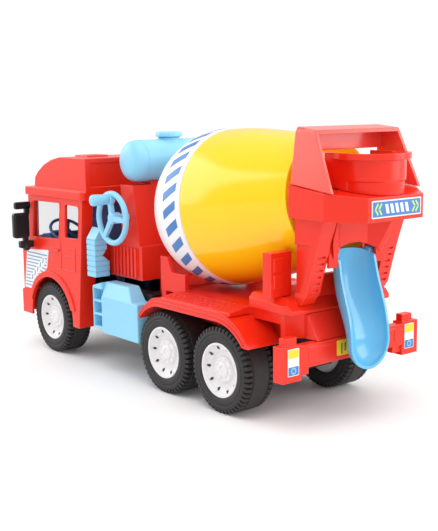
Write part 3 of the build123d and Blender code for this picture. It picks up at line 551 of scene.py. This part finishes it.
def make_hand_wheel():
    """Round rim, boss, three tapered spokes and the pad under the knob."""
    centre = (CRANK_X, HAND_WHEEL_Y, CRANK_Z)
    work = bmesh.new()
    spun(work, ring_section(WHEEL_RIM, 2.2), centre, (0, 1, 0), 96)
    boss = [(-6, 0), (-6, 4.0), (-5.6, 4.4), (1.2, 4.4), (2.0, 3.6), (2.2, 2.4), (2.2, 0)]
    spun(work, boss, centre, (0, 1, 0), 40)
    for angle in SPOKE_ANGLES:
        turn = math.radians(angle)
        along = Vector((math.cos(turn), math.sin(turn)))
        across = Vector((-along.y, along.x))
        root = Vector((CRANK_X, CRANK_Z)) + along * 2.5
        tip = Vector((CRANK_X, CRANK_Z)) + along * (WHEEL_RIM - 0.5)
        outline = [root + across * 2.3, tip + across * 1.8, tip - across * 1.8, root - across * 2.3]
        prism(work, [tuple(p) for p in outline], HAND_WHEEL_Y - 1.6, HAND_WHEEL_Y + 1.6, "y")
    pad = [(-1.7, 0), (-1.7, 4.2), (-1.3, 4.6), (2.2, 4.6), (2.6, 4.2), (2.6, 0)]
    spun(work, pad, KNOB_CENTRE, (0, 1, 0), 40)
    piece = close_piece("hand_wheel_round", work, "crank", [sky], rounding=0.7)
    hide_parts("hand_wheel")


def make_knob():
    """Knob that flares towards its rounded end."""
    profile = [
        (-1.5, 0), (-1.5, 1.5), (2.7, 1.5), (2.7, 3.6), (3.1, 3.9), (13.2, 4.4), (15.2, 4.35),
        (16.3, 3.9), (16.9, 3.0), (17.0, 0),
    ]
    work = bmesh.new()
    spun(work, profile, KNOB_CENTRE, (0, 1, 0), 48)
    piece = close_piece("crank_knob_round", work, "crank", [sky])
    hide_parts("crank_knob")


make_hand_wheel()
make_knob()

# ---- water tank -------------------------------------------------------------------------
TANK_X, TANK_Z = 45, 164.6
NECK_Y = 3.2
CAP_Z = 182.2


def make_water_tank():
    """Lying tank with rounded ends, a filler neck and two fine seams."""
    shoulder = curve_through([(33, 16.1), (37.5, 15.6), (41, 13.4), (43.2, 10), (44, 6)], 6)
    right = [(-s, r) for s, r in reversed(shoulder)]
    profile = [(-44, 0)] + right + shoulder + [(44, 0)]
    work = bmesh.new()
    spun(work, profile, (TANK_X, 0, TANK_Z), (0, 1, 0), 96)
    neck = [(6, 0), (6, 10.2), (15.4, 9.4), (16.2, 8.6), (17.3, 8.4), (17.5, 8.2), (17.5, 0)]
    spun(work, neck, (TANK_X, NECK_Y, TANK_Z), (0, 0, 1), 64)
    seam = [(0.0, 15.9), (0.0, 16.28), (0.5, 16.28), (0.5, 15.9)]
    for y in (-33.4, 32.9):
        spun(work, seam, (TANK_X, y, TANK_Z), (0, 1, 0), 96)
    piece = close_piece("water_tank_round", work, "truck_body", [sky])
    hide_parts("water_tank")


def make_tank_cap():
    """Flat filler cap with a rounded edge."""
    profile = [
        (0.2, 0), (0.2, 9.9), (0.6, 10.4), (2.7, 10.5), (3.4, 10.2), (4.0, 9.3), (4.2, 8.2), (4.2, 0),
    ]
    work = bmesh.new()
    spun(work, profile, (TANK_X, NECK_Y, CAP_Z), (0, 0, 1), 72)
    piece = close_piece("tank_cap_round", work, "truck_body", [sky])
    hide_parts("tank_cap")


make_water_tank()
make_tank_cap()

# ---- fuel tanks -------------------------------------------------------------------------
def make_fuel_tank(side_name, side):
    """Box tank with a slanted hump and an open rack of three bays at its front."""
    work = bmesh.new()

    def across(outline, low, high):
        prism(work, [(side * y, z) for y, z in outline], low, high, "x")

    across(rectangle((46, 31), (61, 60.5), 1.0), 10, 60)
    # The hump narrows from its foot to its crown.
    foot = [(17.8, 47), (59.2, 47), (59.2, 61), (17.8, 61)]
    crown = [(27, 47), (59.2, 47), (59.2, 57), (27, 57)]
    rings = []
    for outline, z in ((foot, 59.9), (crown, 71.3)):
        rings.append([work.verts.new(Vector((x, side * y, z)) * MM) for x, y in outline])
    work.faces.new(rings[0])
    work.faces.new(rings[1])
    for k in range(4):
        j = (k + 1) % 4
        work.faces.new((rings[0][k], rings[0][j], rings[1][j], rings[1][k]))
    # The rack has a back wall, a front wall, three shelves and a sloping roof.
    across([(49, 33), (53.8, 33), (53.8, 67.5), (49, 67.5)], 59.5, 72.5)
    across([(53, 33), (61, 33), (61, 67), (53, 67)], 71, 72.5)
    for low, high in ((33, 35.2), (44, 45.8), (54.6, 56.4)):
        across([(53, low), (60.8, low), (60.8, high), (53, high)], 59.5, 72)
    roof = [(59.4, 65.2), (72.4, 65.2), (72.1, 67.4), (59.4, 71.0)]
    ends = sorted((side * 49, side * 60.9))
    prism(work, roof, ends[0], ends[1], "y")
    piece = close_piece(f"fuel_tank_{side_name}_moulded", work, "truck_body", [sky],
                        rounding=0.7)
    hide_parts(f"fuel_tank_{side_name}")


for side_name, side in SIDES:
    make_fuel_tank(side_name, side)

# ---- discharge chute --------------------------------------------------------------------
# Each section of the trough: height, x of its two rims, half width and depth to the front.
CHUTE_SECTIONS = curve_through(
    [(116, -152.2, 17.2, 10.2), (106, -154.8, 17.4, 14.4), (96, -157.0, 17.7, 16.6),
     (84, -160.8, 18.0, 18.2), (74, -164.0, 18.0, 17.2), (64, -166.0, 18.0, 14.2),
     (55, -166.8, 18.0, 11.8)], 6)
CHUTE_WALL = 2.0
CHUTE_PIVOT = (-148, 0, 111)
CHUTE_TOP_Z = 113
# Upper edge of the trough as (x, z): it falls to the rear to clear the arch when it swings.
CHUTE_TOP = [(-170, 97), (-162, 101.1), (-151, 110.3), (-147, 112.4), (-142.5, 113.8), (-130, 113.8)]


def along_chain(chain, value, key):
    """Point of a chain at one value of its key coordinate, or the nearer end of the chain."""
    for a, b in zip(chain, chain[1:]):
        if min(a[key], b[key]) <= value <= max(a[key], b[key]):
            share = (value - a[key]) / (b[key] - a[key])
            return [p + (q - p) * share for p, q in zip(a, b)]
    return min((chain[0], chain[-1]), key=lambda end: abs(end[key] - value))


def chute_surface(inset, rows, columns):
    """Grid of points over the trough and its rounded foot, shrunk by an inset."""
    foot_z, foot_x, foot_width, foot_depth = CHUTE_SECTIONS[-1]
    grid = []
    for row in range(rows + 1):
        line = []
        for column in range(columns + 1):
            angle = math.pi * (column / columns - 0.5)
            top = along_chain(CHUTE_SECTIONS, CHUTE_TOP_Z, 0)
            top_x = top[1] + (top[3] - inset) * math.cos(angle)
            start = along_chain(CHUTE_TOP, top_x, 0)[1]
            z = start + (foot_z - start) * row / rows
            _, x, half_width, depth = along_chain(CHUTE_SECTIONS, z, 0)
            forward = (depth - inset) * math.cos(angle)
            line.append((x + forward, (half_width - inset) * math.sin(angle), z))
        grid.append(line)
    foot_rows = 14
    for row in range(1, foot_rows + 1):
        lean = math.pi / 2 * row / foot_rows
        shrink = max(math.cos(lean), 0.004)
        line = []
        for column in range(columns + 1):
            angle = math.pi * (column / columns - 0.5)
            line.append((
                foot_x + (foot_depth - inset) * shrink * math.cos(angle),
                (foot_width - inset) * shrink * math.sin(angle),
                foot_z - (foot_width - inset) * math.sin(lean),
            ))
        grid.append(line)
    return grid


def make_chute():
    """Open trough with a spoon-shaped foot, an ear and a trunnion on each side."""
    work = bmesh.new()
    rows, columns = 36, 28
    sheets = []
    for inset in (0, CHUTE_WALL):
        sheet = []
        for line in chute_surface(inset, rows, columns):
            sheet.append([work.verts.new(Vector(p) * MM) for p in line])
        sheets.append(sheet)
        for a, b in zip(sheet, sheet[1:]):
            for k in range(columns):
                work.faces.new((a[k], a[k + 1], b[k + 1], b[k]))
    outer, inner = sheets
    for a, b, c, d in zip(outer, outer[1:], inner, inner[1:]):
        for k in (0, columns):
            work.faces.new((a[k], b[k], d[k], c[k]))
    for k in range(columns):
        work.faces.new((outer[0][k], outer[0][k + 1], inner[0][k + 1], inner[0][k]))
        work.faces.new((outer[-1][k], outer[-1][k + 1], inner[-1][k + 1], inner[-1][k]))
    ear = [(14.6, 0), (14.6, 2.7), (15, 3.0), (18, 3.0), (18.5, 2.7), (18.5, 2.6), (33, 2.6), (33, 0)]
    for side in (-1, 1):
        spun(work, ear, CHUTE_PIVOT, (0, side, 0), 40)
    piece = close_piece("discharge_chute_smooth", work, "chute", [sky_gloss], rounding=0.5)
    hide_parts("discharge_chute")


make_chute()

# ---- cab details ------------------------------------------------------------------------
STICKER = [(176.7, 85.3), (138.5, 88.3), (142.5, 72.3), (171.8, 51.4), (182.8, 51.3)]
FRONT_WINDOW = [(121.5, 99.6), (165.3, 97.3), (161, 128.5), (117.5, 129)]
REAR_WINDOW = [(90.5, 102), (110.5, 101.5), (108.5, 128.5), (88, 128)]


def grown(outline, margin):
    """Outline moved out from its middle by about a margin."""
    middle = sum((Vector(p) for p in outline), Vector((0, 0))) / len(outline)
    out = []
    for x, z in outline:
        out.append((x + math.copysign(margin, x - middle.x), z + math.copysign(margin, z - middle.y)))
    return out


def span_at(outline, z):
    """Lowest and highest x of an outline of (x, z) points at one height."""
    crossings = []
    for i, (x1, z1) in enumerate(outline):
        x0, z0 = outline[i - 1]
        if (z0 - z) * (z1 - z) < 0:
            crossings.append(x0 + (x1 - x0) * (z - z0) / (z1 - z0))
    return min(crossings), max(crossings)


def slab(work, outline, side, low, high, look=0):
    """Slab on one side of the truck, between two distances from its middle plane."""
    ends = sorted((side * low, side * high))
    prism(work, outline, ends[0], ends[1], "y", look)


def make_door_sticker(side_name, side):
    """White label with stripes and a plain slanted band of bars."""
    work = bmesh.new()
    slab(work, round_corners(STICKER, 1.5), side, SIDE_WALL_Y, SIDE_WALL_Y + 0.2)
    for stripe in range(11):
        z = 54.2 + 2.9 * stripe
        start, end = span_at(STICKER, z)
        line = [(start + 1.3, z - 0.5), (end - 1.0, z - 0.5), (end - 1.0, z + 0.5), (start + 1.3, z + 0.5)]
        slab(work, line, side, SIDE_WALL_Y, SIDE_WALL_Y + 0.3, 1)
    band = bar_between((145.5, 80), (170.5, 59.5), 6.0)
    slab(work, band, side, SIDE_WALL_Y, SIDE_WALL_Y + 0.4)
    for step in range(5):
        x = 148.0 + 4.9 * step
        z = 78.0 - 4.0 * step
        bar = [(x - 0.6, z + 2.2), (x + 0.6, z + 2.2), (x + 1.8, z - 2.2), (x + 0.6, z - 2.2)]
        slab(work, bar, side, SIDE_WALL_Y, SIDE_WALL_Y + 0.5, 2)
    close_piece(f"door_sticker_{side_name}", work, "truck_body",
                [ink_white, ink_slate, ink_blue])


def make_door_lines(side_name, side):
    """Raised seams of the doors, and the bead around the windows."""
    work = bmesh.new()
    lines = [
        ((118.2, 98.0), (118.2, 73.6)), ((95.5, 93.6), (117.5, 92.4)), ((119, 92.4), (137, 91.4)),
        ((95, 87.2), (112, 86.6)), ((122, 86.4), (136.5, 85.8)), ((96, 74.6), (117.5, 74.4)),
        ((119, 74.4), (136, 74.4)), ((95.3, 93.6), (96.0, 74.6)),
    ]
    for start, end in lines:
        slab(work, bar_between(start, end, 0.8), side, SIDE_WALL_Y - 0.4, SIDE_WALL_Y + 0.35)
    for outline in (FRONT_WINDOW, REAR_WINDOW):
        outer = round_corners(grown(outline, 0.9), 1.2)
        inner = round_corners(grown(outline, -0.5), 3.6)
        ends = sorted((side * (SIDE_WALL_Y - 2.2), side * (SIDE_WALL_Y + 0.3)))
        ring_slab(work, outer, inner, ends[0], ends[1], "y")
    handle = round_corners([(121.5, 88.4), (131, 88.2), (131, 90.4), (121.5, 90.6)], 0.9)
    slab(work, handle, side, SIDE_WALL_Y - 0.2, SIDE_WALL_Y + 1.0)
    close_piece(f"door_lines_{side_name}", work, "truck_body", [red])


def make_mirror(side_name, side):
    """Black door mirror: big mirror, small one above and a two-part arm."""
    work = bmesh.new()
    # Big mirror, small mirror, the big one's glass, then the arm: upper post, bracket, lower post.
    shapes = [
        (rectangle((65.3, 96.8), (79.6, 118.2), 2.6), 164.5, 168.5),
        (rectangle((63.2, 121.4), (77.5, 127.4), 1.6), 165.0, 168.5),
        (rectangle((66.6, 98.4), (78.3, 116.6), 2.0), 164.2, 165.0),
        (rectangle((64.2, 116.5), (68.6, 123.5), 1.0), 165.0, 168.2),
        (rectangle((62.1, 88.2), (74.4, 94.2), 1.2), 164.0, 168.5),
        (rectangle((66.0, 86.2), (70.6, 98.0), 1.0), 165.0, 168.4),
    ]
    for outline, low, high in shapes:
        points = [(side * y, z) for y, z in outline]
        prism(work, points, low, high, "x")
    ball = [(-3.2, 0), (-2.6, 1.9), (-1.6, 2.9), (0, 3.3), (1.6, 2.9), (2.6, 1.9), (3.2, 0)]
    spun(work, ball, (166, side * 68, 88.5), (0, 0, 1), 24)
    piece = close_piece(f"mirror_{side_name}_round", work, "truck_body", [black],
                        rounding=0.5)
    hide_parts(f"mirror_{side_name}")


def make_steering_wheel():
    """Leaning wheel with a round rim, a stepped boss and three spokes."""
    centre = (145, 40, 102)
    axis = (-0.6, 0, 0.8)
    work = bmesh.new()
    spun(work, ring_section(14.5, 1.3), centre, axis, 72)
    spun(work, [(-5, 0), (-5, 1.8), (-1, 2.2), (-0.8, 3.6), (0.8, 3.4), (1.3, 2.4), (1.4, 0)],
         centre, axis, 32)
    normal = Vector(axis)
    slope = Vector((normal.z, 0, -normal.x))
    for turn in (0, 120, 240):
        angle = math.radians(turn)
        along = Vector((0, 1, 0)) * math.cos(angle) + slope * math.sin(angle)
        across = normal.cross(along)
        corners = []
        for reach in (2.5, 14.2):
            for shift, lift in ((-1.4, -0.8), (1.4, -0.8), (1.4, 0.8), (-1.4, 0.8)):
                spot = Vector(centre) + along * reach + across * shift + normal * lift
                corners.append(work.verts.new(spot * MM))
        for k in range(4):
            j = (k + 1) % 4
            work.faces.new((corners[k], corners[j], corners[4 + j], corners[4 + k]))
        work.faces.new(corners[:4])
        work.faces.new(corners[4:])
    piece = close_piece("steering_wheel_round", work, "truck_body", [navy])
    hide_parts("steering_wheel")


for side_name, side in SIDES:
    make_door_sticker(side_name, side)
    make_door_lines(side_name, side)
    make_mirror(side_name, side)
make_steering_wheel()

# ---- tread plates and lips of the fenders -----------------------------------------------
REAR_AXLE_X, MIDDLE_AXLE_X, AXLE_Z = -85, -20.5, 30
PLATE_INNER_Y, PLATE_INNER_Z = 43, 74   # the tread plate falls outwards from here
PLATE_SLOPE = 2.6 / 18
TREAD_PITCH = 3.0


def fender_line(radius):
    """Arc over the rear axle, straight run and arc over the middle axle, front end lower."""
    points = []
    for step in range(21):
        angle = math.radians(142 - 52 * step / 20)
        points.append((REAR_AXLE_X + radius * math.cos(angle), AXLE_Z + radius * math.sin(angle)))
    squeeze = (radius - 34.0) / 5
    for step in range(1, 21):
        share = step / 20
        angle = math.radians(90 - 50 * share)
        reach = radius - squeeze * 2.6 * share
        points.append((MIDDLE_AXLE_X + reach * math.cos(angle), AXLE_Z + reach * math.sin(angle)))
    return points


def make_tread_ridges(side_name, side):
    """Pattern of short crossing ridges on the sloping plate over the rear wheels."""
    work = bmesh.new()
    for column in range(25):
        for row in range(5):
            x = -96 + TREAD_PITCH * column
            y = 45.6 + TREAD_PITCH * row
            z = PLATE_INNER_Z - (y - PLATE_INNER_Y) * PLATE_SLOPE
            lean = 1 if (column + row) % 2 == 0 else -1
            outline = bar_between((x - 1, side * (y - lean)), (x + 1, side * (y + lean)), 0.75)
            prism(work, outline, z - 0.3, z + 0.28, "z")
    close_piece(f"tread_ridges_{side_name}", work, "truck_body", [red])


def make_fender_lip(side_name, side):
    """Raised double bead that follows the lower edge of the long fender."""
    work = bmesh.new()
    for radius, width, lift in ((34.0, 1.6, 0.5), (37.4, 0.9, 0.35)):
        outer = fender_line(radius + width)
        inner = fender_line(radius)
        outline = outer + list(reversed(inner))
        ends = sorted((side * (SIDE_WALL_Y - 0.3), side * (SIDE_WALL_Y + lift)))
        prism(work, outline, ends[0], ends[1], "y")
    close_piece(f"fender_lip_{side_name}", work, "truck_body", [red])


for side_name, side in SIDES:
    make_tread_ridges(side_name, side)
    make_fender_lip(side_name, side)

# ---- labels at the rear -----------------------------------------------------------------
def make_tail_sticker(side_name, side):
    """Reflector label: yellow above, white in the middle and blue with a ring below."""
    node = f"tail_sticker_{side_name}"
    low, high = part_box(node)
    x = low.x / MM
    inner, outer = sorted((abs(low.y) / MM, abs(high.y) / MM))
    bottom, top = low.z / MM, high.z / MM
    middle = (inner + outer) / 2
    work = bmesh.new()

    def patch(outline, lift, look):
        points = [(side * y, z) for y, z in outline]
        prism(work, points, x - lift, x + 0.35, "x", look)

    patch(rectangle((inner, bottom), (outer, top), 0.8), 0.0, 0)
    patch(rectangle((inner + 0.5, top - 6.0), (outer - 0.5, top - 0.5), 0.5), 0.08, 1)
    patch(rectangle((inner + 0.5, bottom + 0.5), (outer - 0.5, bottom + 6.0), 0.5), 0.08, 2)
    patch(rectangle((middle - 1.8, top - 8.9), (middle + 1.8, top - 6.8), 0.3), 0.08, 4)
    patch(disc((middle, bottom + 3.3), 2.2), 0.16, 3)
    patch(disc((middle, bottom + 3.3), 1.3), 0.22, 2)
    piece = close_piece(f"{node}_print", work, "truck_body",
                        [ink_white, ink_yellow, ink_blue, ink_light, hub_white])
    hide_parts(node)


def make_rear_plate():
    """Yellow plate with a plain row of bars."""
    low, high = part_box("rear_plate")
    x = low.x / MM
    bottom, top = low.z / MM, high.z / MM
    work = bmesh.new()
    prism(work, rectangle((-16, bottom), (16, top), 0.9), x, x + 0.65, "x", 0)
    for step in range(9):
        y = 12 - 3 * step
        height = 2.4 if step % 2 else 0.8
        bar = rectangle((y - 0.5, bottom + height), (y + 0.5, top - 2.2))
        prism(work, bar, x - 0.08, x + 0.4, "x", 1)
    piece = close_piece("rear_plate_print", work, "truck_body",
                        [ink_yellow, dark_ink_and_slot_shade])
    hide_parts("rear_plate")


def make_rear_sign():
    """Blue belt sign with a white edge, chevrons at its ends and plain bars between."""
    low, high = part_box("rear_sign")
    x = low.x / MM
    bottom, top = low.z / MM, high.z / MM
    middle = (bottom + top) / 2
    work = bmesh.new()
    prism(work, rectangle((-22.5, bottom), (22.5, top), 0.8), x, x + 0.5, "x", 0)
    prism(work, rectangle((-21.7, bottom + 0.8), (21.7, top - 0.8), 0.4), x - 0.08, x + 0.4, "x", 1)
    for end in (-1, 1):
        for step in (0, 1):
            tip = end * (19.6 - 3.2 * step)
            for rise in (-1, 1):
                arm = bar_between((tip, middle), (tip - end * 2.4, middle + rise * 3.4), 1.2)
                prism(work, arm, x - 0.16, x + 0.3, "x", 2)
    for step in range(5):
        y = 9 - 4.5 * step
        slant = [(y + 2.1, middle + 2.9), (y - 0.5, middle + 2.9), (y - 2.1, middle - 2.9),
                 (y + 0.5, middle - 2.9)]
        prism(work, slant, x - 0.16, x + 0.3, "x", 0)
    piece = close_piece("rear_sign_print", work, "truck_body",
                        [ink_white, ink_blue, ink_lime])
    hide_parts("rear_sign")


for side_name, side in SIDES:
    make_tail_sticker(side_name, side)
make_rear_plate()
make_rear_sign()

# ---- stage ------------------------------------------------------------------------------
BRIGHT_SIDE = (-0.66, -0.42, 0.62)
ROOM_LIGHT = (0.5, 1.15)          # strength away from the bright side and towards it
FLOOR_FADE = (0.14, 0.42)         # the floor turns from shadowed to white over this reach


def area_light(name, place, target, size, power):
    """White rectangular lamp that faces a target."""
    data = bpy.data.lights.new(name, "AREA")
    data.shape = "RECTANGLE"
    data.size, data.size_y = size
    data.energy = power
    lamp_object = bpy.data.objects.new(name, data)
    lamp_object.location = place
    lamp_object.rotation_mode = "QUATERNION"
    lamp_object.rotation_quaternion = (Vector(target) - Vector(place)).to_track_quat("-Z", "Y")
    bpy.context.scene.collection.objects.link(lamp_object)


def fading_floor():
    """Pale floor that takes soft shadows near the truck and turns plain white further away."""
    material = bpy.data.materials.new("pale_floor")
    material.use_nodes = True
    tree = material.node_tree
    shader = tree.nodes["Principled BSDF"]
    shader.inputs["Base Color"].default_value = (0.93, 0.93, 0.93, 1)
    shader.inputs["Roughness"].default_value = 0.5
    shader.inputs["Specular IOR Level"].default_value = 0.25
    place = tree.nodes.new("ShaderNodeNewGeometry")
    reach = tree.nodes.new("ShaderNodeVectorMath")
    reach.operation = "LENGTH"
    link(tree, place.outputs["Position"], reach.inputs[0])
    fade = tree.nodes.new("ShaderNodeMapRange")
    fade.inputs["From Min"].default_value = FLOOR_FADE[0]
    fade.inputs["From Max"].default_value = FLOOR_FADE[1]
    link(tree, reach.outputs["Value"], fade.inputs["Value"])
    glow = tree.nodes.new("ShaderNodeEmission")
    glow.inputs["Strength"].default_value = 1.0
    blend = tree.nodes.new("ShaderNodeMixShader")
    link(tree, fade.outputs["Result"], blend.inputs["Fac"])
    link(tree, shader.outputs["BSDF"], blend.inputs[1])
    link(tree, glow.outputs["Emission"], blend.inputs[2])
    link(tree, blend.outputs["Shader"], tree.nodes["Material Output"].inputs["Surface"])
    return material


def build_world():
    """White surroundings: full white to the camera, a little weaker as light."""
    world = bpy.data.worlds.new("studio")
    bpy.context.scene.world = world
    world.use_nodes = True
    tree = world.node_tree
    background = tree.nodes["Background"]
    background.inputs["Color"].default_value = (1, 1, 1, 1)
    place = tree.nodes.new("ShaderNodeTexCoord")
    towards = tree.nodes.new("ShaderNodeVectorMath")
    towards.operation = "DOT_PRODUCT"
    towards.inputs[1].default_value = BRIGHT_SIDE
    link(tree, place.outputs["Generated"], towards.inputs[0])
    room = tree.nodes.new("ShaderNodeMapRange")
    room.interpolation_type = "SMOOTHSTEP"
    room.inputs["From Min"].default_value = -0.7
    room.inputs["From Max"].default_value = 0.9
    room.inputs["To Min"].default_value = ROOM_LIGHT[0]
    room.inputs["To Max"].default_value = ROOM_LIGHT[1]
    link(tree, towards.outputs["Value"], room.inputs["Value"])
    path = tree.nodes.new("ShaderNodeLightPath")
    strength = tree.nodes.new("ShaderNodeMix")
    link(tree, path.outputs["Is Camera Ray"], strength.inputs["Factor"])
    link(tree, room.outputs["Result"], strength.inputs["A"])
    strength.inputs["B"].default_value = 1.0
    link(tree, strength.outputs["Result"], background.inputs["Strength"])


def build_stage():
    """Floor, world, three lamps and the view settings."""
    work = bmesh.new()
    bmesh.ops.create_grid(work, x_segments=1, y_segments=1, size=12)
    mesh = bpy.data.meshes.new("floor")
    work.to_mesh(mesh)
    work.free()
    floor = bpy.data.objects.new("floor", mesh)
    bpy.context.scene.collection.objects.link(floor)
    floor.data.materials.append(fading_floor())
    build_world()
    area_light("key", (-0.3, 0.5, 1.6), (0, 0, 0.08), (1.0, 1.0), 7)
    area_light("rear_softbox", (-1.15, -0.9, 0.5), (-0.1, 0, 0.12), (0.9, 0.9), 8)
    area_light("front_softbox", (1.35, 0.72, 0.72), (-0.08, 0, 0.12), (1.5, 1.15), 13)
    bpy.context.scene.view_settings.view_transform = "Standard"
    bpy.context.scene.view_settings.exposure = 0.05


def build_camera():
    """Behind the truck and to its left, a little above it."""
    azimuth, elevation, roll = (math.radians(v) for v in (231.28, 9.28, -0.73))
    distance = 0.74555
    target = Vector((-0.0118, 0, 0.08616))
    back = Vector((
        math.sin(azimuth) * math.cos(elevation),
        -math.cos(azimuth) * math.cos(elevation),
        math.sin(elevation),
    ))
    right = (-back).cross(Vector((0, 0, 1))).normalized()
    up = right.cross(-back)
    tilted_right = right * math.cos(roll) + up * math.sin(roll)
    tilted_up = up * math.cos(roll) - right * math.sin(roll)
    data = bpy.data.cameras.new("camera")
    data.lens = 66.58
    camera = bpy.data.objects.new("camera", data)
    spot = target + back * distance
    turn = Matrix((tilted_right, tilted_up, back)).transposed().to_4x4()
    camera.matrix_world = Matrix.Translation(spot) @ turn
    bpy.context.scene.collection.objects.link(camera)
    bpy.context.scene.camera = camera


build_stage()
build_camera()
